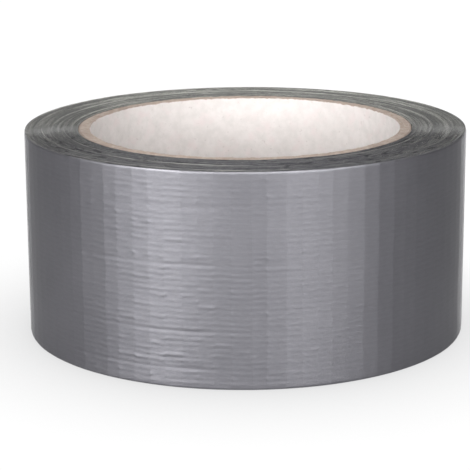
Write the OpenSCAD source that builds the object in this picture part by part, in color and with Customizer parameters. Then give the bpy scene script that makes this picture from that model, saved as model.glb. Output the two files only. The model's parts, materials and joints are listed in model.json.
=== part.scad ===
// Roll of cloth-backed duct tape: a spiral-wound paperboard core, the tape wound on it
// as one spiral strip, and a free end that peels off the outside in hinged steps.
// Millimetres. The roll lies on its flat side: its axis is +Z, and the origin is the
// centre of the core's bore at the bottom face. Seen from above, the tape is wound
// counter-clockwise, and its free end lies on the +Y side.

/* [Core] */
// Diameter of the bore, which goes over a dispenser's hub
core_bore_d = 76; // [60:0.1:90]
// Thickness of the smooth white liner paper inside the bore
liner_t = 0.35; // [0.2:0.05:0.8]
// Thickness of each brown board ply
board_t = 0.5; // [0.3:0.05:1]
// Thickness of the cover paper that the tape sticks to
cover_t = 0.4; // [0.2:0.05:0.8]

/* [Tape] */
// Width of the tape, which is also the length of the core
tape_w = 50; // [20:1:100]
// Diameter that the wound roll stays within
roll_d = 108.5; // [95:0.5:160]
// Thickness of the polyethylene film on the outside of the tape
film_t = 0.07; // [0.04:0.01:0.12]
// Thickness of the cloth scrim under the film
scrim_t = 0.05; // [0.02:0.01:0.1]
// Thickness of the adhesive on the inside of the tape
adhesive_t = 0.1; // [0.03:0.01:0.15]
// How far the adhesive stands back from each cut edge of the tape
adhesive_setback = 0.2; // [0.05:0.05:1]
// Gap between the core and the first turn
core_gap = 0.02; // [0.01:0.01:0.1]

/* [Free end] */
// Angle, seen from above, at which the free end leaves the roll
tail_root_angle = 45; // [10:1:80]
// Angle of the roll that one step of the free end covers
tail_step_angle = 15; // [8:1:16]
// Gap between the free end and the lap that it lies on
tail_gap = 0.03; // [0.01:0.01:0.1]

/* [Hidden] */
CORE_PLIES = 4;
TAIL_STEPS = 6;

core_r = core_bore_d / 2;
ply_r = core_r + liner_t;
cover_r = ply_r + CORE_PLIES * board_t;
core_outer_r = cover_r + cover_t;

// How far the scrim and the film lie above the inside of the tape
scrim_depth = adhesive_t;
film_depth = scrim_depth + scrim_t;
tape_t = film_depth + film_t;

// The spiral is made of half turns, each stuck to the turn inside it. Their centres
// alternate either side of the axis, a quarter of the tape's thickness from it, and each
// radius is half that thickness more than the last, so the strip runs on without a step.
centre_offset = tape_t / 4;
first_r = core_outer_r + core_gap + centre_offset;
room = roll_d / 2 - first_r - tape_t - tail_gap - centre_offset;
lap_start = 2 * (floor(room / tape_t) - 1);
tail_start = lap_start + 2;

white_paper = [0.90, 0.88, 0.85];
brown_board = [0.70, 0.58, 0.47];
silver_film = [0.60, 0.60, 0.62];
white_cotton = [0.86, 0.86, 0.82];
grey_adhesive = [0.45, 0.47, 0.44];
wound_edge = [0.42, 0.43, 0.41];

$fn = 180;

// A tube about the axis, as long as the tape is wide
module tube(inner_r, thickness) {
    rotate_extrude()
        translate([inner_r, 0])
            square([thickness, tape_w]);
}

function centre_x(i) = i % 2 == 0 ? -centre_offset : centre_offset;
function start_angle(i) = i % 2 == 0 ? 0 : 180;
function inside_r(i) = first_r + i * tape_t / 2;

// Section of the even or the odd half turns' cut edge. Between the scrim and film of one
// turn and the next, it steps back from edge_z to the adhesive at back_z.
function cut_edge(parity, edge_z, back_z) = [
    for (i = [parity : 2 : lap_start - 1]) each [
        [inside_r(i), back_z],
        [inside_r(i) + scrim_depth, back_z],
        [inside_r(i) + scrim_depth, edge_z],
        [inside_r(i) + tape_t, edge_z]
    ]
];

function reversed(points) = [for (k = [len(points) - 1 : -1 : 0]) points[k]];

// All the even or all the odd half turns of the windings
module wound_half(parity) {
    bottom = cut_edge(parity, 0, adhesive_setback);
    top = cut_edge(parity, tape_w, tape_w - adhesive_setback);
    translate([centre_x(parity), 0, 0])
        rotate([0, 0, start_angle(parity)])
            rotate_extrude(angle = 180)
                polygon(concat(bottom, reversed(top)));
}

// A stretch of one layer of half turn i. depth is how far the layer lies above the inside
// of the tape, and inset is how far it stands back from the tape's cut edges.
module stretch(i, depth, thickness, inset, from_angle, to_angle) {
    translate([centre_x(i), 0, 0])
        rotate([0, 0, from_angle])
            rotate_extrude(angle = to_angle - from_angle)
                translate([inside_r(i) + depth, inset])
                    square([thickness, tape_w - 2 * inset]);
}

// One layer of the outermost lap, which runs from the end of the windings to the root of
// the free end
module lap(depth, thickness, inset) {
    for (i = [lap_start, lap_start + 1])
        stretch(i, depth, thickness, inset, start_angle(i), start_angle(i) + 180);
    stretch(tail_start, depth, thickness, inset, 0, tail_root_angle);
}

// One layer of one step of the free end
module tail(step, depth, thickness, inset) {
    from_angle = tail_root_angle + (step - 1) * tail_step_angle;
    to_angle = from_angle + tail_step_angle;
    stretch(tail_start, depth + tail_gap, thickness, inset, from_angle, to_angle);
}

module core_liner() {
    color(white_paper) tube(core_r, liner_t);
}

module core_ply(n) {
    color(brown_board) tube(ply_r + (n - 1) * board_t, board_t);
}

module core_cover() {
    color(brown_board) tube(cover_r, cover_t);
}

// Every turn inside the outermost lap
module tape_windings() {
    color(wound_edge) {
        wound_half(0);
        wound_half(1);
    }
}

module lap_film() {
    color(silver_film) lap(film_depth, film_t, 0);
}

module lap_scrim() {
    color(white_cotton) lap(scrim_depth, scrim_t, 0);
}

module lap_adhesive() {
    color(grey_adhesive) lap(0, adhesive_t, adhesive_setback);
}

module tail_film(step) {
    color(silver_film) tail(step, film_depth, film_t, 0);
}

module tail_scrim(step) {
    color(white_cotton) tail(step, scrim_depth, scrim_t, 0);
}

module tail_adhesive(step) {
    color(grey_adhesive) tail(step, 0, adhesive_t, adhesive_setback);
}

core_liner();
for (n = [1 : CORE_PLIES])
    core_ply(n);
core_cover();
tape_windings();
lap_film();
lap_scrim();
lap_adhesive();
for (step = [1 : TAIL_STEPS]) {
    tail_film(step);
    tail_scrim(step);
    tail_adhesive(step);
}
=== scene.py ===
"""A roll of cloth-backed duct tape, lying flat on a white table in a plain studio.

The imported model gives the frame. The classes below make the finished pieces over it: the paperboard core with
its plies, the wound tape with its cut edges, the outermost lap and the free end, each of film, cloth and
adhesive. Every length is in metres.
"""

import json
import logging
import math
from dataclasses import dataclass, field
from enum import Enum
from typing import Callable

import bpy
import numpy as np
from mathutils import Euler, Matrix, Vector


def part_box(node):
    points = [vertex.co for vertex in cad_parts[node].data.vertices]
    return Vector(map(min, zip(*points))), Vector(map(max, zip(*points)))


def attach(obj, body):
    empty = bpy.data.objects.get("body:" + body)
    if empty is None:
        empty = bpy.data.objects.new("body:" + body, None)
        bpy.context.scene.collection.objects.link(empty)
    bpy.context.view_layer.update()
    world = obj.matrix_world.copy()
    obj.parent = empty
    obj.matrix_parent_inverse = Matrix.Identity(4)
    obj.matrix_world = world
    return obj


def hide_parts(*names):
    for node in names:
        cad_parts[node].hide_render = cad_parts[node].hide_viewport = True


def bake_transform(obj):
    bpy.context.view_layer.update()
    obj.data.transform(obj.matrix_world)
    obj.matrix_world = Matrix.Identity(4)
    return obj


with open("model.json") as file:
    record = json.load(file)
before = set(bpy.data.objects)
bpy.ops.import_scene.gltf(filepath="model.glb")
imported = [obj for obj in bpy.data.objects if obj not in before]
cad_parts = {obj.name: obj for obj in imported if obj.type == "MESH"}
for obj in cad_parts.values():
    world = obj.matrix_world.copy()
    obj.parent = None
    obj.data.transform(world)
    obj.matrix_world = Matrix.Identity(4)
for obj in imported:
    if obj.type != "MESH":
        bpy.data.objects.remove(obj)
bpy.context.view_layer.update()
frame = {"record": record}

log = logging.getLogger("duct_tape_roll")
MM = 0.001
TURN = 2 * math.pi
WARP_PITCH = 1.27  # between the cloth's lengthwise yarns, in millimetres
WEFT_PITCH = 4.0  # between its cross yarns, in millimetres
MEAN_RADIUS = 47.0  # of the wound tape, in millimetres, for its map

Place = Callable[[np.ndarray, np.ndarray], tuple[np.ndarray, np.ndarray]]
Colour = tuple[float, float, float]
Socket = bpy.types.NodeSocket


class Layer(Enum):
    """The three bonded layers of the tape, from the outside in."""

    FILM = "film"
    SCRIM = "scrim"
    ADHESIVE = "adhesive"


# ---------------------------------------------------------------------------------------------------------
# Repeatable irregularity
# ---------------------------------------------------------------------------------------------------------


class Drift:
    """Random values on a repeating grid, blended smoothly between its points."""

    def __init__(self, seed: int, rows: int = 64, columns: int = 64) -> None:
        """Fill the grid.

        Args:
            seed: Makes the same grid each time.
            rows: Grid points before the pattern repeats along the first direction.
            columns: The same along the second direction.
        """
        self.table = np.random.default_rng(seed).uniform(-1.0, 1.0, (rows, columns))

    def at(self, x: np.ndarray, y: np.ndarray | float = 0.0) -> np.ndarray:
        """Blend the four grid points around each place.

        Args:
            x: Places along the first direction, in grid steps.
            y: Places along the second direction, in grid steps.

        Returns:
            A value from -1 to 1 for each place.
        """
        x, y = np.broadcast_arrays(np.asarray(x, float), np.asarray(y, float))
        rows, columns = self.table.shape
        i, j = np.floor(x).astype(int), np.floor(y).astype(int)
        u, v = x - i, y - j
        u, v = u * u * (3 - 2 * u), v * v * (3 - 2 * v)
        i, next_i, j, next_j = i % rows, (i + 1) % rows, j % columns, (j + 1) % columns
        low = self.table[i, j] * (1 - v) + self.table[i, next_j] * v
        high = self.table[next_i, j] * (1 - v) + self.table[next_i, next_j] * v
        return low * (1 - u) + high * u


@dataclass(frozen=True)
class Ripple:
    """One kind of unevenness in the winding, which changes slowly from each turn to the next."""

    seed: int
    rows: int
    waves: int
    rate: float
    height: float

    def at(self, turn: np.ndarray) -> np.ndarray:
        """The rise at each place, counted in turns along the strip."""
        return self.height * Drift(self.seed, self.rows, self.waves).at(turn * self.rate, turn * self.waves)


RIPPLES = (
    Ripple(seed=21, rows=256, waves=5, rate=0.6, height=0.05 * MM),
    Ripple(seed=22, rows=256, waves=3, rate=2.3, height=0.03 * MM),
    Ripple(seed=23, rows=997, waves=1, rate=41, height=0.012 * MM),
    Ripple(seed=24, rows=256, waves=90, rate=0.25, height=0.035 * MM),
)


@dataclass(frozen=True)
class LooseTurn:
    """A stretch of one turn that stands proud of its neighbours at the top, with its cloth showing.

    Its middle and its spread to either side are bearings in degrees.
    """

    turn: int
    middle: float
    spread: float
    rise: float

    @property
    def angle(self) -> float:
        """Angle along the strip at its middle."""
        return (self.turn + self.middle / 360) * TURN


LOOSE_TURNS = (
    LooseTurn(10, -10, 75, 0.16 * MM),
    LooseTurn(15, 185, 50, 0.14 * MM),
    LooseTurn(21, -5, 55, 0.18 * MM),
    LooseTurn(27, 250, 40, 0.12 * MM),
    LooseTurn(30, 95, 60, 0.16 * MM),
    LooseTurn(35, 60, 40, 0.12 * MM),
    LooseTurn(39, 190, 60, 0.16 * MM),
    LooseTurn(43, 5, 60, 0.26 * MM),
    LooseTurn(47, 150, 45, 0.14 * MM),
    LooseTurn(50, 255, 45, 0.12 * MM),
)


# ---------------------------------------------------------------------------------------------------------
# Mesh making
# ---------------------------------------------------------------------------------------------------------


def deselect_all() -> None:
    """Leave edit mode and drop the selection, so that an operator acts only on what comes next."""
    if bpy.context.object is not None and bpy.context.object.mode != "OBJECT":
        bpy.ops.object.mode_set(mode="OBJECT")
    bpy.ops.object.select_all(action="DESELECT")


def rows_and_columns(mesh: bpy.types.Mesh, along: int, across: int) -> tuple[np.ndarray, np.ndarray]:
    """Number the points of a fresh grid.

    Args:
        mesh: The grid, two units wide each way and centred.
        along: Faces along X.
        across: Faces along Y.

    Returns:
        Each vertex's column along X and row along Y.
    """
    flat = np.empty(len(mesh.vertices) * 3, np.float32)
    mesh.vertices.foreach_get("co", flat)
    flat = flat.reshape(-1, 3)
    column = np.rint((flat[:, 0] + 1) / 2 * along).astype(int)
    row = np.rint((flat[:, 1] + 1) / 2 * across).astype(int)
    return column, row


def formed_grid(
    name: str, along: int, across: int, place: Place, slots: np.ndarray | None = None
) -> bpy.types.Object:
    """Wrap a flat grid round into a closed shell.

    The last row is placed on the first, so that the grid becomes a tube of the section's shape, and the two
    open ends are then merged, where they meet, or capped.

    Args:
        name: The piece's name.
        along: Faces along the piece.
        across: Faces round its section.
        place: Gives the positions, and the map coordinates in millimetres, of columns and rows.
        slots: The material slot of each row of faces.

    Returns:
        The finished piece, smooth except at its sharp edges.
    """
    deselect_all()
    bpy.ops.mesh.primitive_grid_add(x_subdivisions=along, y_subdivisions=across, size=2)
    piece = bpy.context.object
    piece.name = piece.data.name = name
    mesh = piece.data
    column, row = rows_and_columns(mesh, along, across)
    points, flat_map = place(column, row)
    mesh.vertices.foreach_set("co", points.astype(np.float32).ravel())
    corner = np.empty(len(mesh.loops), np.int32)
    mesh.loops.foreach_get("vertex_index", corner)
    mesh.uv_layers[0].name = "Tape"
    mesh.uv_layers[0].data.foreach_set("uv", flat_map[corner].astype(np.float32).ravel())
    if slots is not None:
        start = np.empty(len(mesh.polygons), np.int32)
        mesh.polygons.foreach_get("loop_start", start)
        face_row = row[corner[start[:, None] + np.arange(4)]].min(axis=1)
        mesh.polygons.foreach_set("material_index", slots[face_row].astype(np.int32))
    mesh.update()
    close_shell(piece)
    return piece


def close_shell(piece: bpy.types.Object, smooth_to: float = 32.0, touching: float = 2e-7) -> None:
    """Merge the places where a shell meets itself, cap what is left open and turn its faces outwards.

    Args:
        piece: The shell.
        smooth_to: The steepest edge, in degrees, that is shaded smooth.
        touching: How close, in metres, two points are to count as one.
    """
    bpy.context.view_layer.objects.active = piece
    piece.select_set(True)
    bpy.ops.object.mode_set(mode="EDIT")
    bpy.ops.mesh.select_mode(type="VERT")
    bpy.ops.mesh.select_all(action="SELECT")
    bpy.ops.mesh.remove_doubles(threshold=touching)
    bpy.ops.mesh.select_all(action="SELECT")
    bpy.ops.mesh.fill_holes(sides=0)
    bpy.ops.mesh.select_all(action="SELECT")
    bpy.ops.mesh.normals_make_consistent(inside=False)
    bpy.ops.mesh.select_all(action="DESELECT")
    bpy.ops.object.mode_set(mode="OBJECT")
    bpy.ops.object.shade_smooth_by_angle(angle=math.radians(smooth_to))
    deselect_all()


# ---------------------------------------------------------------------------------------------------------
# Finishes
# ---------------------------------------------------------------------------------------------------------


@dataclass(frozen=True)
class Rings:
    """How the streaks round the roll change: along it in a radian, out from it in a metre, and in detail."""

    along: float
    out: float
    detail: float = 3.0
    rough: float = 0.5
    shift: float = 0.0


@dataclass(frozen=True)
class Cloud:
    """How a soft random pattern looks: its fineness, its finer layers and their strength, and its stretch."""

    scale: float
    detail: float = 3.0
    rough: float = 0.5
    stretch: tuple[float, float, float] = (1.0, 1.0, 1.0)


# Painted shade: near-black rings washed over the tops of the turns, standing in for the shade in the recesses
# between them.
PAINTED_GAP_SHADE_RINGS = Rings(13.0, 800.0, 1.0, 0.5, 31.0)
PAINTED_GAP_SHADE: Colour = (0.022, 0.021, 0.026)


class Graph:
    """A material's node tree, with short ways to add to it."""

    def __init__(self, name: str) -> None:
        """Start a material with one Principled shader.

        Args:
            name: The material's name.
        """
        self.material = bpy.data.materials.new(name)
        self.material.use_nodes = True
        self.tree = self.material.node_tree
        self.tree.nodes.clear()
        self.shader = self.tree.nodes.new("ShaderNodeBsdfPrincipled")
        self.output = self.tree.nodes.new("ShaderNodeOutputMaterial")
        self.tree.links.new(self.shader.outputs[0], self.output.inputs[0])

    def put(self, target: Socket, value: Socket | float | tuple) -> None:
        """Link a socket to an input, or set the input's own value.

        Args:
            target: The input.
            value: A socket, or a number, vector or colour.
        """
        if isinstance(value, bpy.types.NodeSocket):
            self.tree.links.new(value, target)
        elif hasattr(target.default_value, "__len__") and len(target.default_value) == 4 and len(value) == 3:
            target.default_value = (*value, 1.0)
        else:
            target.default_value = value

    def node(self, kind: str, inputs: dict | None = None, **settings: object) -> bpy.types.Node:
        """Add a node.

        Args:
            kind: The node's class, without its ShaderNode prefix.
            inputs: Values or sockets for its inputs, by name or number.
            settings: Its own settings.

        Returns:
            The node.
        """
        made = self.tree.nodes.new("ShaderNode" + kind)
        for key, value in settings.items():
            setattr(made, key, value)
        for key, value in (inputs or {}).items():
            self.put(made.inputs[key], value)
        return made

    def math(self, operation: str, a: Socket | float, b: Socket | float = 0.0, clamp: bool = False) -> Socket:
        """Work on one or two numbers, and return the result's socket."""
        return self.node("Math", {0: a, 1: b}, operation=operation, use_clamp=clamp).outputs[0]

    def mix(self, share: Socket | float, a: Socket | Colour, b: Socket | Colour) -> Socket:
        """Blend two colours.

        Args:
            share: How much of the second colour there is.
            a: The first colour.
            b: The second colour.

        Returns:
            The blended colour's socket.
        """
        made = self.node("Mix", {0: share}, data_type="RGBA")
        self.put(made.inputs[6], a)
        self.put(made.inputs[7], b)
        return made.outputs[2]

    def spread(
        self, value: Socket, low: float, high: float, to_low: float = 0.0, to_high: float = 1.0
    ) -> Socket:
        """Stretch a number's range onto another, clamped, and return the result's socket."""
        return self.node("MapRange", {0: value, 1: low, 2: high, 3: to_low, 4: to_high}).outputs[0]

    def wash(
        self, under: Socket | Colour, over: Colour, value: Socket, low: float, high: float, strength: float
    ) -> Socket:
        """Lay a colour over another wherever a pattern is strong.

        Args:
            under: The colour below.
            over: The colour laid over it.
            value: The pattern.
            low: The pattern's value where nothing is laid.
            high: Its value where the most is laid.
            strength: How much of the colour below the most hides.

        Returns:
            The colour's socket.
        """
        return self.mix(self.math("MULTIPLY", self.spread(value, low, high), strength), under, over)

    def here(self) -> Socket:
        """The place on the object, in metres."""
        return self.node("TexCoord").outputs["Object"]

    def on_tape(self) -> Socket:
        """The place on the tape laid out flat: millimetres along it, then millimetres across it."""
        return self.node("UVMap", uv_map="Tape").outputs[0]

    def scaled(self, place: Socket, scale: tuple[float, float, float]) -> Socket:
        """A place with each direction multiplied, as a socket."""
        return self.node("VectorMath", {0: place, 1: scale}, operation="MULTIPLY").outputs[0]

    def noise(self, place: Socket, cloud: Cloud) -> Socket:
        """Make a soft random pattern.

        Args:
            place: The place on the piece.
            cloud: The pattern's size and detail.

        Returns:
            A number around a half.
        """
        inputs = {"Scale": cloud.scale, "Detail": cloud.detail, "Roughness": cloud.rough}
        return self.node("TexNoise", {"Vector": self.scaled(place, cloud.stretch), **inputs}).outputs[0]

    def ringed(self, rings: Rings) -> Socket:
        """Random streaks that run round the roll.

        Args:
            rings: Their size and detail.

        Returns:
            A number around a half.
        """
        flat = self.scaled(self.here(), (1.0, 1.0, 0.0))
        radius = self.node("VectorMath", {0: flat}, operation="LENGTH").outputs["Value"]
        facing = self.node("VectorMath", {0: flat}, operation="NORMALIZE").outputs[0]
        turn = self.node("SeparateXYZ", {0: self.scaled(facing, (rings.along,) * 3)})
        place = self.node("CombineXYZ", {
            0: self.math("ADD", turn.outputs[0], rings.shift),
            1: turn.outputs[1],
            2: self.math("MULTIPLY", radius, rings.out),
        })
        return self.noise(place.outputs[0], Cloud(1.0, rings.detail, rings.rough))

    def loosened(self, colour: Socket, cotton: Colour, streak: Socket) -> Socket:
        """Let cotton show in streaks where the wound strip has come loose, by the distance along it.

        Args:
            colour: The strip's own colour.
            cotton: The cotton's colour.
            streak: The streaks, as a number around a half.

        Returns:
            The colour's socket.
        """
        along = self.node("SeparateXYZ", {0: self.on_tape()}).outputs[0]
        most: Socket | float = 0.0
        for stretch in LOOSE_TURNS:
            off = self.math("ABSOLUTE", self.math("SUBTRACT", along, stretch.angle * MEAN_RADIUS))
            reach = math.radians(stretch.spread) * MEAN_RADIUS
            most = self.math("MAXIMUM", most, self.spread(off, reach, reach * 0.3))
        shown = self.math("MULTIPLY", most, self.spread(streak, 0.40, 0.62, 0.12, 0.7))
        return self.mix(shown, colour, cotton)

    def relief(
        self, height: Socket, distance: float, strength: float = 1.0, under: Socket | None = None
    ) -> Socket:
        """Raise the surface by a pattern.

        Args:
            height: The pattern.
            distance: The rise, in metres, where the pattern is 1.
            strength: How much of it shows.
            under: Another relief that it lies on.

        Returns:
            The normal's socket.
        """
        inputs: dict = {"Height": height, "Distance": distance, "Strength": strength}
        if under is not None:
            inputs["Normal"] = under
        return self.node("Bump", inputs).outputs[0]

    def surface(self, **inputs: Socket | float | Colour) -> None:
        """Set the shader's inputs, named with underscores for spaces."""
        for key, value in inputs.items():
            self.put(self.shader.inputs[key.replace("_", " ")], value)


@dataclass(frozen=True)
class SilverFilm:
    """Satin polyethylene film, silver grey, with fine streaks along the cloth's yarns."""

    tint: Colour = (0.173, 0.171, 0.190)
    pale: Colour = (0.220, 0.217, 0.238)
    roughness: float = 0.40
    uneven: float = 0.04
    gloss: float = 0.5
    metallic: float = 0.72
    threads: Cloud = Cloud(1.6, 3.0, 0.6, (0.35, 1.6, 1.0))
    clouds: Cloud = Cloud(1.0, 4.0, 0.55, (0.06, 0.06, 1.0))
    grain: Cloud = Cloud(5.0, 2.0, 0.7)
    breaks: Cloud = Cloud(1.0, 1.0, 0.5, (0.55, 1 / WARP_PITCH, 1.0))
    grain_rise: float = 0.012 * MM
    dash_rise: float = 0.005 * MM

    def material(self) -> bpy.types.Material:
        """Build the finish.

        Returns:
            The material.
        """
        g = Graph("silver_film")
        tape = g.on_tape()
        parts = g.node("SeparateXYZ", {0: tape})
        rib = g.math("COSINE", g.math("MULTIPLY", parts.outputs[1], TURN / WARP_PITCH))
        thread, cloud = g.noise(tape, self.threads), g.noise(tape, self.clouds)
        share = g.math("MULTIPLY", g.spread(cloud, 0.3, 0.7), 0.45)
        share = g.math("ADD", share, g.math("MULTIPLY", g.spread(thread, 0.35, 0.75), 0.4))
        share = g.math("ADD", share, g.math("MULTIPLY", rib, 0.06), clamp=True)
        dashes = g.math("MULTIPLY", g.math("ADD", rib, 1.0), g.spread(g.noise(tape, self.breaks), 0.35, 0.7))
        grain = g.math("ADD", g.noise(tape, self.grain), g.math("MULTIPLY", thread, 1.5))
        fine = g.relief(grain, self.grain_rise, 0.6)
        g.surface(
            Base_Color=g.mix(share, self.tint, self.pale),
            Roughness=g.spread(cloud, 0.2, 0.8, self.roughness - self.uneven, self.roughness + self.uneven),
            Normal=g.relief(dashes, self.dash_rise, 1.0, fine),
            Metallic=self.metallic,
            Coat_Weight=self.gloss,
            Coat_Roughness=0.2,
        )
        return g.material


@dataclass(frozen=True)
class SmearedFilm:
    """Film on an inner turn, of which only a hair's breadth shows, dulled by adhesive and dust, with painted
    shade in dark rings between the turns.
    """

    tint: Colour = (0.060, 0.059, 0.070)
    pale: Colour = (0.14, 0.14, 0.145)
    cotton: Colour = (0.34, 0.335, 0.31)
    streaks: Rings = Rings(5.0, 1500.0)
    streak_rise: float = 0.03 * MM

    def material(self) -> bpy.types.Material:
        """Build the finish.

        Returns:
            The material.
        """
        g = Graph("smeared_film")
        streak = g.ringed(self.streaks)
        colour = g.mix(g.spread(streak, 0.40, 0.66), self.tint, self.pale)
        # Painted shade: dark rings for the recesses between the turns.
        colour = g.wash(colour, PAINTED_GAP_SHADE, g.ringed(PAINTED_GAP_SHADE_RINGS), 0.42, 0.32, 0.75)
        g.surface(
            Base_Color=g.loosened(colour, self.cotton, streak),
            Roughness=0.7,
            Normal=g.relief(streak, self.streak_rise, 0.5),
            Specular_IOR_Level=0.3,
        )
        return g.material


@dataclass(frozen=True)
class CutEdge:
    """The cut edges of film and cloth: grey, in streaks round the roll, with cotton ends as pale flecks, and
    painted shade in dark rings between the turns.
    """

    tint: Colour = (0.102, 0.101, 0.101)
    dark: Colour = (0.052, 0.049, 0.060)
    pale: Colour = (0.190, 0.189, 0.178)
    cotton: Colour = (0.48, 0.475, 0.44)
    roughness: float = 0.8
    zones: Rings = Rings(0.8, 380.0, 2.0, 0.5, 7.0)
    streaks: Rings = Rings(1.7, 2300.0, 2.0, 0.6, 3.0)
    yarn_ends: Rings = Rings(40.0, 2600.0, 2.0, 0.6, 11.0)
    grain: Cloud = Cloud(2300.0, 1.0, 0.5)
    end_rise: float = 0.05 * MM

    def material(self) -> bpy.types.Material:
        """Build the finish.

        Returns:
            The material.
        """
        g = Graph("cut_edge")
        streak, ends = g.ringed(self.streaks), g.ringed(self.yarn_ends)
        colour = g.mix(g.spread(g.ringed(self.zones), 0.40, 0.60), self.dark, self.tint)
        colour = g.wash(colour, self.pale, streak, 0.45, 0.68, 0.75)
        colour = g.wash(colour, self.pale, g.noise(g.here(), self.grain), 0.50, 0.70, 0.4)
        # Painted shade: dark rings for the recesses between the turns.
        colour = g.wash(colour, PAINTED_GAP_SHADE, g.ringed(PAINTED_GAP_SHADE_RINGS), 0.42, 0.32, 0.75)
        colour = g.wash(colour, self.cotton, ends, 0.62, 0.76, 0.6)
        g.surface(
            Base_Color=g.loosened(colour, self.cotton, streak),
            Roughness=self.roughness,
            Normal=g.relief(ends, self.end_rise, 0.7),
            Specular_IOR_Level=0.25,
        )
        return g.material


@dataclass(frozen=True)
class CottonScrim:
    """Open cotton cloth, off-white and soaked with grey adhesive in places."""

    tint: Colour = (0.50, 0.50, 0.455)
    soaked: Colour = (0.13, 0.132, 0.125)
    fibres: Rings = Rings(70.0, 2400.0, 3.0, 0.7)
    soaking: Rings = Rings(1.2, 1000.0, 3.0, 0.6, 5.0)
    fibre_rise: float = 0.05 * MM

    def material(self) -> bpy.types.Material:
        """Build the finish.

        Returns:
            The material.
        """
        g = Graph("cotton_scrim")
        fuzz, wet = g.ringed(self.fibres), g.ringed(self.soaking)
        dry = g.math("MULTIPLY", g.spread(fuzz, 0.4, 0.7), -0.3)
        share = g.math("ADD", g.spread(wet, 0.36, 0.56), dry, clamp=True)
        g.surface(
            Base_Color=g.mix(share, self.tint, self.soaked),
            Roughness=0.9,
            Normal=g.relief(fuzz, self.fibre_rise, 0.8),
        )
        return g.material


@dataclass(frozen=True)
class GreyAdhesive:
    """Tacky grey adhesive, slightly green, printed with the cloth's weave."""

    tint: Colour = (0.085, 0.087, 0.084)
    pale: Colour = (0.14, 0.143, 0.135)
    yarn: Colour = (0.26, 0.262, 0.245)
    clouds: Cloud = Cloud(160.0, 3.0, 0.6)
    print_rise: float = 0.04 * MM
    cloud_rise: float = 0.03 * MM

    def material(self) -> bpy.types.Material:
        """Build the finish.

        Returns:
            The material.
        """
        g = Graph("grey_adhesive")
        parts = g.node("SeparateXYZ", {0: g.on_tape()})
        warp = g.math("COSINE", g.math("MULTIPLY", parts.outputs[1], TURN / WARP_PITCH))
        weft = g.math("COSINE", g.math("MULTIPLY", parts.outputs[0], TURN / WEFT_PITCH))
        print_ = g.math("MAXIMUM", warp, g.math("ADD", g.math("MULTIPLY", weft, 3.0), -2.0))
        cloud = g.noise(g.here(), self.clouds)
        bumps = g.relief(cloud, self.cloud_rise, 0.6, g.relief(print_, self.print_rise, 1.0))
        colour = g.mix(g.spread(cloud, 0.35, 0.7), self.tint, self.pale)
        colour = g.mix(g.spread(print_, 0.2, 1.0, 0.0, 0.45), colour, self.yarn)
        g.surface(
            Base_Color=colour,
            Roughness=g.spread(cloud, 0.3, 0.7, 0.42, 0.65),
            Normal=bumps,
            Specular_IOR_Level=0.35,
        )
        return g.material


@dataclass(frozen=True)
class KraftBoard:
    """Brown recycled board with short fibres."""

    name: str = "kraft_board"
    tint: Colour = (0.44, 0.347, 0.292)
    fibre: Colour = (0.55, 0.47, 0.41)
    dark: Colour = (0.24, 0.18, 0.15)
    fibres: Cloud = Cloud(800.0, 3.0, 0.65, (1.0, 1.0, 3.0))
    stains: Cloud = Cloud(140.0, 3.0, 0.6)
    specks: Cloud = Cloud(2300.0, 2.0, 0.5)
    rise: float = 0.05 * MM

    def material(self) -> bpy.types.Material:
        """Build the finish.

        Returns:
            The material.
        """
        g = Graph(self.name)
        here = g.here()
        fibre = g.noise(here, self.fibres)
        base = g.mix(g.spread(fibre, 0.4, 0.7), self.tint, self.fibre)
        base = g.wash(base, self.dark, g.noise(here, self.stains), 0.5, 0.75, 0.35)
        base = g.wash(base, self.dark, g.noise(here, self.specks), 0.62, 0.75, 0.5)
        g.surface(
            Base_Color=base,
            Roughness=0.92,
            Normal=g.relief(fibre, self.rise, 0.8),
            Specular_IOR_Level=0.25,
        )
        return g.material


@dataclass(frozen=True)
class LinerPaper:
    """White liner paper, faintly pink and mottled, with recycled specks, worn through at the top rim."""

    tint: Colour = (0.80, 0.755, 0.735)
    shade: Colour = (0.69, 0.655, 0.63)
    pink: Colour = (0.80, 0.70, 0.69)
    speck: Colour = (0.50, 0.44, 0.42)
    board: Colour = (0.42, 0.30, 0.235)
    rim: float = 50.0 * MM
    tear: float = 1.0 * MM
    worn_from: float = 0.22 * MM
    worn_through: float = 0.40 * MM
    tears: Cloud = Cloud(620.0, 2.0, 0.6)
    mottling: Cloud = Cloud(420.0, 3.0, 0.6)
    blushes: Cloud = Cloud(310.0, 2.0, 0.5)
    stains: Cloud = Cloud(80.0, 2.0, 0.5)
    specks: Cloud = Cloud(1100.0, 2.0, 0.5)
    rise: float = 0.04 * MM

    def material(self) -> bpy.types.Material:
        """Build the finish.

        Returns:
            The material.
        """
        g = Graph("liner_paper")
        here = g.here()
        height = g.node("SeparateXYZ", {0: here}).outputs[2]
        torn = g.math("ADD", height, g.math("MULTIPLY", g.noise(here, self.tears), self.tear))
        worn = g.spread(torn, self.rim + self.worn_from, self.rim + self.worn_through)
        mottle = g.noise(here, self.mottling)
        base = g.wash(self.tint, self.shade, mottle, 0.38, 0.66, 0.7)
        base = g.wash(base, self.pink, g.noise(here, self.blushes), 0.5, 0.72, 0.6)
        base = g.wash(base, self.shade, g.noise(here, self.stains), 0.45, 0.7, 0.25)
        base = g.wash(base, self.speck, g.noise(here, self.specks), 0.66, 0.78, 0.5)
        g.surface(
            Base_Color=g.mix(worn, base, self.board),
            Roughness=0.85,
            Normal=g.relief(mottle, self.rise, 0.5),
            Specular_IOR_Level=0.3,
        )
        return g.material


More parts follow.
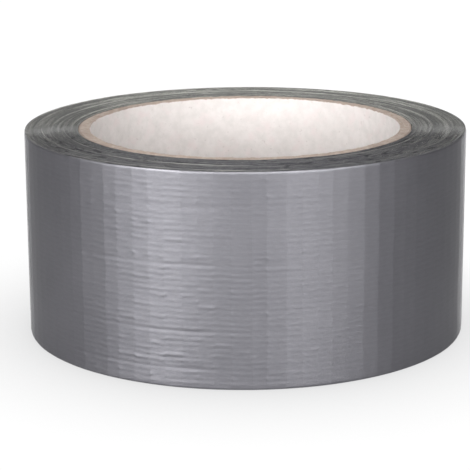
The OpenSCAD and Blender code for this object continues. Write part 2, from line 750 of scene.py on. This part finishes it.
class Finishes:
    """One of each finish, built once and shared."""

    def __init__(self) -> None:
        """Build them all."""
        self.film = SilverFilm().material()
        self.cut_edge = CutEdge().material()
        self.smeared = SmearedFilm().material()
        self.scrim = CottonScrim().material()
        self.adhesive = GreyAdhesive().material()
        self.kraft = KraftBoard().material()
        self.cover = KraftBoard("kraft_cover", (0.37, 0.285, 0.24), (0.46, 0.38, 0.33)).material()
        self.liner = LinerPaper().material()


# ---------------------------------------------------------------------------------------------------------
# The roll's own sizes
# ---------------------------------------------------------------------------------------------------------


@dataclass(frozen=True)
class TapeSizes:
    """The tape's layers, the cloth's yarns and the way that the strip is wound.

    The adhesive lies back from the cut edges by setback on the lap and the free end, and by oozed on the turns
    inside. Their corners are dulled and blunted, and their outsides stand a hair inside the next turn.
    """

    film: float = 0.07 * MM
    scrim: float = 0.05 * MM
    adhesive: float = 0.10 * MM
    setback: float = 0.2 * MM
    oozed: float = 0.11 * MM
    dulled: float = 0.03 * MM
    blunted: float = 0.012 * MM
    hair: float = 0.001 * MM
    core_gap: float = 0.02 * MM
    tail_gap: float = 0.03 * MM
    warp_pitch: float = WARP_PITCH * MM
    weft_pitch: float = WEFT_PITCH * MM
    half_turns_under_lap: int = 116
    tail_root: float = math.radians(45)
    tail_step: float = math.radians(15)
    tail_steps: int = 6

    @property
    def thickness(self) -> float:
        """All three layers together, which is also the spiral's pitch."""
        return self.film + self.scrim + self.adhesive

    @property
    def lap_start(self) -> float:
        """Angle along the strip at which the outermost lap starts."""
        return self.half_turns_under_lap * math.pi

    @property
    def root(self) -> float:
        """Angle along the strip at which the free end leaves the roll."""
        return self.lap_start + TURN + self.tail_root

    @property
    def covered(self) -> float:
        """How much of the lap, from its start, the free end lies on."""
        return self.tail_root + self.tail_steps * self.tail_step

    def depths(self, layer: Layer) -> tuple[float, float]:
        """Find where a layer lies in the tape.

        Args:
            layer: The layer.

        Returns:
            How far its inside and its outside lie above the inside of the tape.
        """
        return {
            Layer.ADHESIVE: (0.0, self.adhesive),
            Layer.SCRIM: (self.adhesive, self.adhesive + self.scrim),
            Layer.FILM: (self.adhesive + self.scrim, self.thickness),
        }[layer]


@dataclass(frozen=True)
class Spiral:
    """The path of the strip: half turns about two centres, either side of the roll's axis."""

    core_radius: float
    tape: TapeSizes

    def place(self, angle: np.ndarray, depth: np.ndarray, height: np.ndarray) -> np.ndarray:
        """Find points on the wound strip.

        Args:
            angle: Angle along the strip, in radians from its start on the core.
            depth: Distance outwards from the inside of the tape.
            height: Height above the table.

        Returns:
            The points, one row each.
        """
        half = np.floor(angle / math.pi + 1e-9)
        pitch = self.tape.thickness
        centre = np.where(half % 2 == 0, -1.0, 1.0) * pitch / 4
        radius = self.core_radius + self.tape.core_gap + pitch / 4 + half * pitch / 2 + depth
        return np.stack([centre + radius * np.cos(angle), radius * np.sin(angle), height], axis=1)

    def point(self, angle: float, depth: float, height: float) -> Vector:
        """One point on the wound strip."""
        return Vector(self.place(np.array([angle]), np.array([depth]), np.array([height]))[0])


@dataclass
class ClothUnderFilm:
    """How the film lies on the roll: flat between cross yarns, ribbed by the lengthwise ones, and creased.

    It shows its ribs most round the bearing ribbed_at and has a few long grooves there. Where a yarn lies under
    it, it stands proud, with a knot where the yarns cross.
    """

    tape: TapeSizes
    radius: float
    width: float
    groove_heights: tuple[float, ...] = (4.6 * MM, 13.6 * MM, 28.8 * MM, 41.8 * MM)
    groove_depth: float = 0.062 * MM
    groove_half: float = 0.36 * MM
    groove_wander: float = 0.35 * MM
    yarn_height: float = 0.034 * MM
    rib_height: float = 0.022 * MM
    knot_height: float = 0.042 * MM
    knot_half: float = 0.42 * MM
    swell_height: float = 0.014 * MM
    sway_most: float = 0.22 * MM
    ribbed_at: float = math.radians(245)
    ribbed_spread: float = math.radians(27)
    ribbed_strongly: float = 0.9
    ribbed_faintly: float = 0.17
    crease_half: float = 0.07 * MM
    crease_fade: float = 0.62 * MM
    clear: float = 0.25 * MM
    lowest: float = -0.056 * MM
    highest_covered: float = 0.012 * MM
    edge_reach: float = 0.6 * MM
    most_ribs: int = 64
    yarns: np.ndarray = field(init=False)
    proud: np.ndarray = field(init=False)
    slant: np.ndarray = field(init=False)
    shift: np.ndarray = field(init=False)
    rib_force: np.ndarray = field(init=False)
    knot_force: np.ndarray = field(init=False)
    sway_noise: Drift = field(init=False)
    swell: Drift = field(init=False)
    fading: Drift = field(init=False)
    groove_path: Drift = field(init=False)
    groove_force: Drift = field(init=False)

    def __post_init__(self) -> None:
        """Lay the cross yarns along the tape, a little unevenly."""
        random = np.random.default_rng(11)
        count = int(self.radius * 12 / self.tape.weft_pitch)
        steps = self.tape.weft_pitch * random.uniform(0.86, 1.14, count)
        self.yarns = np.cumsum(steps) - 4 * self.tape.weft_pitch
        self.proud = random.uniform(-1, 1, count) * self.yarn_height
        self.slant = random.uniform(-1, 1, count)
        self.rib_force = random.uniform(-0.7, 1.25, (count, self.most_ribs))
        self.knot_force = random.uniform(-0.2, 1.0, (count, self.most_ribs))
        self.shift = random.uniform(-0.14, 0.14, count)
        self.sway_noise = Drift(13, 256, 32)
        self.swell = Drift(14, 64, 32)
        self.groove_path = Drift(15, 64, 8)
        self.groove_force = Drift(16, 64, 8)
        self.fading = Drift(17, 256, 64)

    def along(self, angle: np.ndarray | float) -> np.ndarray | float:
        """Distance along the tape from the start of the outermost lap."""
        return (angle - self.tape.lap_start) * self.radius

    def columns(self, start: float, end: float, widest: float) -> np.ndarray:
        """Angles for a mesh's columns: five to each flat, close either side of its creases.

        Args:
            start: First angle along the strip.
            end: Last angle along the strip.
            widest: The widest gap allowed between columns, which is small where the tape has to bend.

        Returns:
            The angles, in order, with both ends.
        """
        first, last = self.along(start), self.along(end)
        marks = []
        for a, b in zip(self.yarns[:-1], self.yarns[1:]):
            marks += [a + self.crease_half, a + self.crease_fade, (a + b) / 2]
            marks += [b - self.crease_fade, b - self.crease_half]
        marks = [first, *(m for m in marks if first + self.clear < m < last - self.clear), last]
        runs = []
        for a, b in zip(marks[:-1], marks[1:]):
            runs.append(np.linspace(a, b, math.ceil((b - a) / widest), endpoint=False))
        return np.append(np.concatenate(runs), last) / self.radius + self.tape.lap_start

    def sway(self, distance: np.ndarray, height: np.ndarray) -> np.ndarray:
        """How far along the tape the cross yarns wander, at each place."""
        return self.sway_most * self.sway_noise.at(distance / self.tape.weft_pitch, height / (2.2 * MM))

    def grooves(self, distance: np.ndarray, height: np.ndarray) -> np.ndarray:
        """Press in the long grooves.

        Args:
            distance: Distance along the tape from the start of the outermost lap.
            height: Height above the bottom edge.

        Returns:
            The depth at each place.
        """
        total = np.zeros_like(distance)
        for n, middle in enumerate(self.groove_heights):
            path = middle + self.groove_wander * self.groove_path.at(distance / (24 * MM), n * 2.0)
            force = 0.75 + 0.6 * self.groove_force.at(distance / (11 * MM), n * 2.0)
            off = (height - path) / self.groove_half
            total += self.groove_depth * force * np.exp(-off * off)
        return total

    def showing(self, distance: np.ndarray, height: np.ndarray) -> np.ndarray:
        """Let ribs and grooves show strongly round one bearing, and faintly elsewhere.

        Args:
            distance: Distance along the tape from the start of the outermost lap.
            height: Height above the bottom edge.

        Returns:
            Their strength at each place.
        """
        off = (distance / self.radius - self.ribbed_at) / self.ribbed_spread
        shown = self.ribbed_faintly + self.ribbed_strongly * np.exp(-(off * off))
        shown = shown + 0.3 * self.swell.at(distance / (21 * MM), height / (19 * MM))
        return np.clip(shown, 0.1, 1.3)

    def relief(self, distance: np.ndarray, height: np.ndarray) -> np.ndarray:
        """How far the film's outside stands out from a true spiral.

        Args:
            distance: Distance along the tape from the start of the outermost lap.
            height: Height above the bottom edge.

        Returns:
            The offset outwards at each place.
        """
        j = np.clip(np.searchsorted(self.yarns, distance) - 1, 0, len(self.yarns) - 2)
        a, b = self.yarns[j], self.yarns[j + 1]
        share = np.clip((distance - a) / (b - a), 0, 1)
        flat = -(distance - a) * (b - distance) / (2 * self.radius)
        lean = self.proud[j] * (1 - share) + self.proud[j + 1] * share
        row = height / self.tape.warp_pitch + 0.3 * self.slant[j] * (share - 0.5) + self.shift[j]
        number = np.clip(np.round(row).astype(int), 0, self.most_ribs - 1)
        rib = (0.5 + 0.5 * np.cos(TURN * row)) ** 1.3
        rib = rib * (1 + self.fading.at(distance / (1.6 * MM), number * 1.0))
        to_crease = np.minimum(distance - a, b - distance)
        nearest = np.where(share < 0.5, j, j + 1)
        middle = np.clip(to_crease / self.crease_fade, 0, 1)
        knot = np.exp(-((to_crease / self.knot_half) ** 2))
        ribs = rib * (self.rib_height * (0.2 + self.rib_force[j, number]) * middle
                      + self.knot_height * (0.1 + self.knot_force[nearest, number]) * knot)
        swell = self.swell_height * self.swell.at(distance / (9 * MM), height / (7 * MM))
        pressed = self.showing(distance, height) * (ribs - self.grooves(distance, height))
        covered = distance < self.tape.covered * self.radius
        highest = np.where(covered, self.highest_covered, 1.0)
        return np.clip(flat + lean + swell + pressed, self.lowest, highest)

    def rounded(self, height: np.ndarray) -> np.ndarray:
        """Thin the tape at its edges, which the slitting blade squeezed.

        Args:
            height: Height above the bottom edge.

        Returns:
            How much of the tape's thickness is left at each height.
        """
        reach = self.edge_reach
        edge = np.clip((height - (self.width - reach)) / reach, 0, 1) + np.clip((reach - height) / reach, 0, 1)
        return 1 - 0.5 * edge * edge


# ---------------------------------------------------------------------------------------------------------
# The core
# ---------------------------------------------------------------------------------------------------------


def mount_radius(name: str) -> float:
    """The wall radius, in metres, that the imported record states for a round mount."""
    mount = next(m for m in frame["record"]["mounts"] if m["name"] == name)
    return mount["dims"]["r_mm"] * MM


@dataclass(frozen=True)
class Ply:
    """One tube of the core: its CAD node, how far its top stands below the tape, and how ragged its cut is."""

    node: str
    sunk: float
    ragged: float


@dataclass
class PaperCore:
    """The paperboard tube that the tape is wound on: a white liner, brown plies and a cover, all glued."""

    finishes: Finishes
    plies: tuple[Ply, ...] = (
        Ply("core_liner", 0.14 * MM, 0.10 * MM),
        Ply("core_ply_1", 0.18 * MM, 0.07 * MM),
        Ply("core_ply_2", 0.08 * MM, 0.06 * MM),
        Ply("core_ply_3", 0.12 * MM, 0.07 * MM),
        Ply("core_ply_4", 0.06 * MM, 0.06 * MM),
        Ply("core_cover", 0.16 * MM, 0.08 * MM),
    )
    columns: int = 480
    liner_rows: int = 60
    ply_rows: int = 6
    chamfer: float = 0.05 * MM
    cut_reach: float = 0.3 * MM
    dent: float = 0.03 * MM
    scuff: float = 0.05 * MM
    pieces: list[bpy.types.Object] = field(default_factory=list)

    def build(self) -> None:
        """Make every ply over its CAD node."""
        inside = mount_radius("core_bore")
        for number, ply in enumerate(self.plies):
            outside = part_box(ply.node)[1].x
            self.pieces.append(self.tube(ply, number, inside, outside))
            inside = outside

    def tube(self, ply: Ply, number: int, inside: float, outside: float) -> bpy.types.Object:
        """Make one ply as a tube with a slightly ragged cut at each end.

        Args:
            ply: The ply.
            number: Its place, counted from the bore.
            inside: Its inner radius.
            outside: Its outer radius.

        Returns:
            The finished ply.
        """
        is_liner, is_cover = number == 0, number == len(self.plies) - 1
        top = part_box(ply.node)[1].z
        rows, chamfer = self.liner_rows if is_liner else self.ply_rows, self.chamfer
        heights = np.linspace(chamfer, top - chamfer, rows)
        radius = np.concatenate([np.full(rows, inside), [inside + chamfer, outside - chamfer], [outside] * 2,
                                 [outside - chamfer, inside + chamfer], [inside]])
        height = np.concatenate([heights, [top, top], [top - chamfer, chamfer], [0.0, 0.0], [heights[0]]])
        ragged, coarse = Drift(40 + number, 480, 8), Drift(60 + number, 160, 8)
        dents = Drift(80 + number, 24, 16)
        slots = np.where(np.arange(len(radius) - 1) < rows - 1, 0, 1)

        def place(column: np.ndarray, row: np.ndarray) -> tuple[np.ndarray, np.ndarray]:
            """Put the grid's points round the tube.

            Args:
                column: Each point's column, round the tube.
                row: Its row, round the wall's section.

            Returns:
                The points and their map coordinates.
            """
            turn, r, z = column / self.columns, radius[row], height[row]
            angle = turn * TURN
            wave = ply.ragged * (0.6 * ragged.at(turn * 480, row % 3) + 0.8 * coarse.at(turn * 160, 0.0))
            at_top = np.clip((z - (top - self.cut_reach)) / self.cut_reach, 0, 1)
            at_bottom = np.clip((self.cut_reach - z) / self.cut_reach, 0, 1)
            z = z + at_top * (wave - ply.sunk) + at_bottom * np.abs(wave)
            bore = is_liner & (row < rows)
            r = r + np.where(bore, self.dent * dents.at(turn * 24, z / (9 * MM)), 0.0)
            r = r + np.where(bore, -self.scuff * at_top * ragged.at(turn * 480, 5.0), 0.0)
            points = np.stack([r * np.cos(angle), r * np.sin(angle), z], axis=1)
            return points, np.stack([angle * r / MM, z / MM], axis=1)

        piece = formed_grid(f"{ply.node}_paper", self.columns, len(radius) - 1, place, slots)
        body = self.finishes.cover if is_cover else self.finishes.kraft
        piece.data.materials.append(self.finishes.liner if is_liner else body)
        piece.data.materials.append(body)
        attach(piece, "roll")
        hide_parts(ply.node)
        return piece


# ---------------------------------------------------------------------------------------------------------
# The wound tape
# ---------------------------------------------------------------------------------------------------------


class Slot(Enum):
    """The wound strip's material slots."""

    ADHESIVE = 0
    SCRIM = 1
    CUT_EDGE = 2
    SMEARED_FILM = 3


@dataclass
class WoundTurns:
    """Every turn inside the outermost lap, as strips with set-back adhesive and their own wander."""

    finishes: Finishes
    tape: TapeSizes
    spiral: Spiral
    width: float
    columns_per_turn: int = 400
    fraying: float = 0.022 * MM
    oozing: float = 0.05 * MM
    pieces: list[bpy.types.Object] = field(default_factory=list)

    def build(self) -> None:
        """Make the turns in three strips that run on from each other."""
        turns = self.tape.half_turns_under_lap // 2
        cuts = [0, turns // 3, 2 * turns // 3, turns]
        for name, first, last in zip(("inner", "middle", "outer"), cuts[:-1], cuts[1:]):
            self.pieces.append(self.strip(f"windings_{name}", first, last))

    def rise(self, angle: np.ndarray) -> np.ndarray:
        """Raise the strip here and there, as an uneven winding does.

        Args:
            angle: Angle along the strip.

        Returns:
            How far the strip's top edge stands above its place.
        """
        up = np.zeros_like(angle)
        for ripple in RIPPLES:
            up = up + ripple.at(angle / TURN)
        for stretch in LOOSE_TURNS:
            off = (angle - stretch.angle) / math.radians(stretch.spread)
            up = up + stretch.rise * np.exp(-off * off * 2.2)
        return up

    def strip(self, name: str, first: int, last: int) -> bpy.types.Object:
        """Make some turns as one strip.

        Args:
            name: The piece's name.
            first: The turn that it starts with.
            last: The turn that it ends before.

        Returns:
            The finished strip.
        """
        t, back, top = self.tape, self.tape.oozed, self.width
        cloth, outer = t.adhesive + t.scrim, t.thickness - t.hair
        section = [
            (0.0, back, Slot.ADHESIVE),
            (0.0, top - back, Slot.ADHESIVE),
            (t.adhesive, top - back, Slot.SCRIM),
            (t.adhesive, top - t.dulled, Slot.SCRIM),
            (cloth, top, Slot.CUT_EDGE),
            (outer - t.blunted, top, Slot.CUT_EDGE),
            (outer, top - t.blunted, Slot.SMEARED_FILM),
            (outer, 0.0, Slot.CUT_EDGE),
            (cloth, 0.0, Slot.SCRIM),
            (t.adhesive, t.dulled, Slot.SCRIM),
            (t.adhesive, back, Slot.ADHESIVE),
            (0.0, back, Slot.ADHESIVE),
        ]
        depth = np.array([d for d, _, _ in section])
        height = np.array([z for _, z, _ in section])
        slots = np.array([slot.value for _, _, slot in section])
        along = (last - first) * self.columns_per_turn
        fray, ooze = Drift(31, 4096, 4), Drift(32, 2048, 2)

        def place(column: np.ndarray, row: np.ndarray) -> tuple[np.ndarray, np.ndarray]:
            """Wind the strip's points round the core.

            Args:
                column: Each point's column, along the strip.
                row: Its row, round the strip's section.

            Returns:
                The points and their map coordinates.
            """
            tick = first * self.columns_per_turn + column
            angle = (first + column / self.columns_per_turn) * TURN
            z = height[row]
            adhesive = (row <= 2) | (row >= 10)
            frayed = self.fraying * fray.at(tick * 0.7, row % 4)
            soft = self.oozing * ooze.at(tick * 0.11)
            at_top = self.rise(angle) + np.where(adhesive, soft, frayed)
            z = z + np.where(z > top / 2, at_top, np.where(adhesive, np.abs(soft), 0.0))
            z = np.maximum(z, 0.0)
            return self.spiral.place(angle, depth[row], z), np.stack([angle * MEAN_RADIUS, z / MM], axis=1)

        piece = formed_grid(name, along, len(section) - 1, place, slots)
        finishes = self.finishes
        for finish in (finishes.adhesive, finishes.scrim, finishes.cut_edge, finishes.smeared):
            piece.data.materials.append(finish)
        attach(piece, "roll")
        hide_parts("tape_windings")
        return piece


# ---------------------------------------------------------------------------------------------------------
# The outermost lap and the free end
# ---------------------------------------------------------------------------------------------------------


TORN_BACK = {Layer.FILM: 1.05 * MM, Layer.SCRIM: 0.55 * MM, Layer.ADHESIVE: 0.8 * MM}
FILM_EDGE = np.array([0.0, 0.07, 0.17, 0.3, 0.45]) * MM


@dataclass
class TapeLayers:
    """Makes stretches of the tape's three layers, for the outermost lap and the free end.

    Columns stand no further apart than bending where the tape can bend, and than lying where it can't.
    """

    finishes: Finishes
    tape: TapeSizes
    spiral: Spiral
    cloth: ClothUnderFilm
    width: float
    bending: float = 0.42 * MM
    lying: float = 5.0 * MM
    sunk: float = 0.012 * MM
    steady_end: float = 0.6 * MM
    tear_reach: float = 3.0 * MM

    def section(self, layer: Layer) -> tuple[np.ndarray, np.ndarray, np.ndarray]:
        """Trace a layer's section: up its outside, over the top, and down its inside.

        Args:
            layer: The layer.

        Returns:
            Each point's depth, its height, and whether it lies on the outside.
        """
        low, high = self.tape.depths(layer)
        back = self.tape.setback if layer is Layer.ADHESIVE else 0.0
        if layer is Layer.FILM:
            middle = np.arange(0.62 * MM, self.width - 0.55 * MM, self.tape.warp_pitch / 4)
            outside = np.concatenate([FILM_EDGE, middle, self.width - FILM_EDGE[::-1]])
        elif layer is Layer.ADHESIVE:
            outside = np.linspace(back, self.width - back, 24)
        else:
            outside = np.linspace(0, self.width, 60)
        inside = outside[::-1] if layer is Layer.ADHESIVE else np.linspace(self.width, 0.0, 4)
        depth = np.concatenate([np.full(len(outside), high), np.full(len(inside), low), [high]])
        height = np.concatenate([outside, inside, [outside[0]]])
        on_outside = np.concatenate([np.ones(len(outside)), np.zeros(len(inside)), [1]]).astype(bool)
        return depth, height, on_outside

    def stretch(
        self, name: str, layer: Layer, start: float, end: float, lift: float = 0.0, torn: bool = False
    ) -> bpy.types.Object:
        """Make one stretch of one layer.

        Args:
            name: The piece's name.
            layer: The layer.
            start: Angle along the strip at which it starts.
            end: Angle along the strip at which it ends.
            lift: How far it lies off the turn inside it.
            torn: Whether its far end is torn.

        Returns:
            The finished stretch.
        """
        depth, height, on_outside = self.section(layer)
        angles = self.cloth.columns(start, end, self.bending if lift else self.lying)
        tear = Drift(51, 256, 8)

        def place(column: np.ndarray, row: np.ndarray) -> tuple[np.ndarray, np.ndarray]:
            """Wind the stretch's points round the roll.

            Args:
                column: Each point's column, along the stretch.
                row: Its row, round the layer's section.

            Returns:
                The points and their map coordinates.
            """
            angle, d, z = angles[column], depth[row], height[row]
            distance, first, last = (self.cloth.along(a) for a in (angle, start, end))
            moved, offset = distance, -self.sunk
            if layer is Layer.FILM:
                to_end = np.minimum(distance - first, last - distance)
                moved = distance + self.cloth.sway(distance, z) * np.clip(to_end / self.steady_end, 0, 1)
                offset = self.cloth.relief(distance, z)
            d = (d + np.where(on_outside[row], offset, 0.0)) * self.cloth.rounded(z)
            if torn:
                share = np.clip(1 - (last - distance) / self.tear_reach, 0, 1)
                jag = 0.35 * MM * tear.at(z / (0.9 * MM), 1.0) + 0.5 * MM * tear.at(z / (4.1 * MM), 3.0)
                moved = moved + share * (jag - TORN_BACK[layer])
            points = self.spiral.place(moved / self.cloth.radius + self.tape.lap_start, d + lift, z)
            return points, np.stack([distance / MM, z / MM], axis=1)

        piece = formed_grid(name, len(angles) - 1, len(depth) - 1, place)
        piece.data.materials.append(self.finish(layer))
        return piece

    def finish(self, layer: Layer) -> bpy.types.Material:
        """Choose a layer's finish.

        Args:
            layer: The layer.

        Returns:
            Its material.
        """
        return {
            Layer.FILM: self.finishes.film,
            Layer.SCRIM: self.finishes.scrim,
            Layer.ADHESIVE: self.finishes.adhesive,
        }[layer]


@dataclass
class OutermostLap:
    """The last full lap of tape, up to the place where the free end peels off."""

    layers: TapeLayers
    pieces: list[bpy.types.Object] = field(default_factory=list)

    def build(self) -> None:
        """Make the lap's film, cloth and adhesive."""
        tape = self.layers.tape
        for layer in Layer:
            piece = self.layers.stretch(f"outer_lap_{layer.value}", layer, tape.lap_start, tape.root)
            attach(piece, "roll")
            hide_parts(f"lap_{layer.value}")
            self.pieces.append(piece)


@dataclass
class FreeEnd:
    """The free end, stuck down on the roll, in stretches that follow on from each other."""

    layers: TapeLayers
    first_bend: float = 0.5
    pieces: list[bpy.types.Object] = field(default_factory=list)

    def build(self) -> None:
        """Make a stretch of each layer after each hinge."""
        tape = self.layers.tape
        for step in range(1, tape.tail_steps + 1):
            start = tape.root + (step - 1) * tape.tail_step
            end = start + tape.tail_step
            bent = start + tape.tail_step * (self.first_bend if step == 1 else 1.0)
            a = self.layers.spiral.point(start, tape.thickness, 0.0)
            b = self.layers.spiral.point(bent, tape.thickness, 0.0)
            for layer in Layer:
                name = f"free_end_{step}_{layer.value}"
                piece = self.layers.stretch(name, layer, start, end, tape.tail_gap, step == tape.tail_steps)
                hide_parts(f"tail_{step}_{layer.value}")
                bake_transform(piece)
                self.pieces.append(piece)


# ---------------------------------------------------------------------------------------------------------
# The studio
# ---------------------------------------------------------------------------------------------------------


@dataclass(frozen=True)
class SoftLight:
    """One square studio light, aimed at the roll from a bearing and a height above the table."""

    bearing: float
    rise: float
    power: float
    size: float = 0.36
    reach: float = 1.2
    aim: float = 0.025

    def build(self) -> None:
        """Put the light in the scene, with bearing 0 behind the camera and more to the right."""
        name = f"soft_light_{self.bearing:.0f}_{self.rise:.0f}"
        lamp = bpy.data.lights.new(name, "AREA")
        lamp.shape = "SQUARE"
        lamp.size = self.size
        lamp.energy = self.power
        turn, up = math.radians(self.bearing), math.radians(self.rise)
        out = Vector((math.sin(turn) * math.cos(up), -math.cos(turn) * math.cos(up), math.sin(up)))
        made = bpy.data.objects.new(name, lamp)
        bpy.context.scene.collection.objects.link(made)
        made.location = out * self.reach + Vector((0, 0, self.aim))
        made.rotation_euler = (-out).to_track_quat("-Z", "Y").to_euler()


@dataclass(frozen=True)
class StudioCamera:
    """The camera, a little above the roll's top, looking slightly down; its turns are in degrees."""

    place: tuple[float, float, float] = (0.0, -0.451, 0.138)
    down: float = 14.42
    tilt: float = 0.30
    sensor: float = 36.0
    lens: float = 143.1
    shift: tuple[float, float] = (-0.017, 0.0003)
    clip: tuple[float, float] = (0.05, 50.0)

    def build(self) -> None:
        """Set the camera up and make it the scene's own."""
        lens = bpy.data.cameras.new("studio_camera")
        lens.sensor_width, lens.lens = self.sensor, self.lens
        lens.shift_x, lens.shift_y = self.shift
        lens.clip_start, lens.clip_end = self.clip
        camera = bpy.data.objects.new("studio_camera", lens)
        bpy.context.scene.collection.objects.link(camera)
        camera.location = self.place
        camera.rotation_euler = Euler((math.radians(90 - self.down), math.radians(self.tilt), 0.0), "XYZ")
        bpy.context.scene.camera = camera


@dataclass
class Studio:
    """A white table in white surroundings, soft lights and the camera.

    The table's top and the backdrop shine by themselves and are seen by the camera only. Below the top lies a
    glossy card, which the roll mirrors and which throws light back up.
    """

    camera: StudioCamera = StudioCamera()
    surroundings: float = 0.02
    white: Colour = (1.03, 1.03, 1.03)
    in_shadow: Colour = (0.66, 0.66, 0.665)
    shadow_reach: float = 0.09
    card: Colour = (0.42, 0.42, 0.425)
    card_roughness: float = 0.18
    top_depth: float = 0.0001
    card_depth: float = 0.0006
    table_size: float = 30.0
    room_radius: float = 14.0
    room_height: float = 20.0
    lights: tuple[SoftLight, ...] = (
        SoftLight(-75, 12, 0.9),
        SoftLight(-57, 12, 2.3),
        SoftLight(-42, 12, 4.2),
        SoftLight(-25, 12, 2.7),
        SoftLight(-8, 12, 1.45),
        SoftLight(8, 12, 1.5),
        SoftLight(25, 12, 3.0),
        SoftLight(42, 12, 2.1),
        SoftLight(57, 12, 1.1),
        SoftLight(160, 12, 1.1),
        SoftLight(-162, 12, 0.9),
        SoftLight(-42, 40, 0.45),
        SoftLight(0, 32, 1.6),
        SoftLight(12, 40, 2.0),
        SoftLight(0, 75, 2.4),
        SoftLight(162, 32, 3.4),
        SoftLight(-162, 32, 2.6),
        SoftLight(180, 12, 1.4),
    )

    def build(self) -> None:
        """Put everything in the scene."""
        self.build_world()
        self.build_table()
        self.build_backdrop()
        for light in self.lights:
            light.build()
        self.camera.build()
        view = bpy.context.scene.view_settings
        view.view_transform = "Standard"
        view.look = "None"

    def build_world(self) -> None:
        """Light the scene evenly from white surroundings."""
        world = bpy.data.worlds.new("white_surroundings")
        bpy.context.scene.world = world
        world.use_nodes = True
        background = world.node_tree.nodes["Background"]
        background.inputs["Color"].default_value = (1.0, 1.0, 1.0, 1.0)
        background.inputs["Strength"].default_value = self.surroundings

    def build_table(self) -> None:
        """Lay the table's top, with soft shade round the roll, and the card below it."""
        g = Graph("white_table")
        near = g.node("AmbientOcclusion", {"Distance": self.shadow_reach}, samples=16).outputs["AO"]
        colour = g.mix(g.spread(near, 0.35, 0.92), self.in_shadow, self.white)
        self.camera_only(self.sheet("white_table", -self.top_depth, self.glowing(g, colour)))
        g = Graph("table_card")
        g.surface(Base_Color=self.card, Roughness=self.card_roughness)
        self.sheet("table_card", -self.card_depth, g.material)

    def build_backdrop(self) -> None:
        """Stand a white wall round the table."""
        deselect_all()
        bpy.ops.mesh.primitive_cylinder_add(
            vertices=64, radius=self.room_radius, depth=self.room_height, end_fill_type="NOTHING"
        )
        wall = bpy.context.object
        wall.name = wall.data.name = "white_backdrop"
        wall.data.materials.append(self.glowing(Graph("white_backdrop"), self.white))
        self.camera_only(wall)

    def glowing(self, g: Graph, colour: Socket | Colour) -> bpy.types.Material:
        """Make a material shine by itself, in one colour.

        Args:
            g: The material's node tree.
            colour: The colour.

        Returns:
            The material.
        """
        glow = g.node("Emission", {"Color": colour})
        g.tree.links.new(glow.outputs[0], g.output.inputs[0])
        return g.material

    def camera_only(self, piece: bpy.types.Object) -> None:
        """Hide a piece from light and from reflections."""
        piece.visible_diffuse = piece.visible_glossy = piece.visible_shadow = False

    def sheet(self, name: str, height: float, finish: bpy.types.Material) -> bpy.types.Object:
        """Lay one large flat sheet.

        Args:
            name: The sheet's name.
            height: Its height.
            finish: Its material.

        Returns:
            The sheet.
        """
        deselect_all()
        bpy.ops.mesh.primitive_plane_add(size=self.table_size)
        sheet = bpy.context.object
        sheet.name = sheet.data.name = name
        for v in sheet.data.vertices:
            v.co.z = height
        sheet.data.materials.append(finish)
        return sheet


# ---------------------------------------------------------------------------------------------------------


def main() -> None:
    """Build the roll from the core outwards, then the studio round it."""
    logging.basicConfig(level=logging.INFO, format="%(message)s")
    Studio().build()
    finishes = Finishes()
    tape = TapeSizes()
    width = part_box("lap_film")[1].z
    spiral = Spiral(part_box("core_cover")[1].x, tape)
    cloth = ClothUnderFilm(tape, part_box("lap_film")[1].x, width)
    layers = TapeLayers(finishes, tape, spiral, cloth, width)
    assemblies = (
        PaperCore(finishes),
        WoundTurns(finishes, tape, spiral, width),
        OutermostLap(layers),
        FreeEnd(layers),
    )
    for assembly in assemblies:
        assembly.build()
        for piece in assembly.pieces:
            log.info("%s: %s, %d faces", type(assembly).__name__, piece.name, len(piece.data.polygons))


if __name__ == "__main__":
    main()
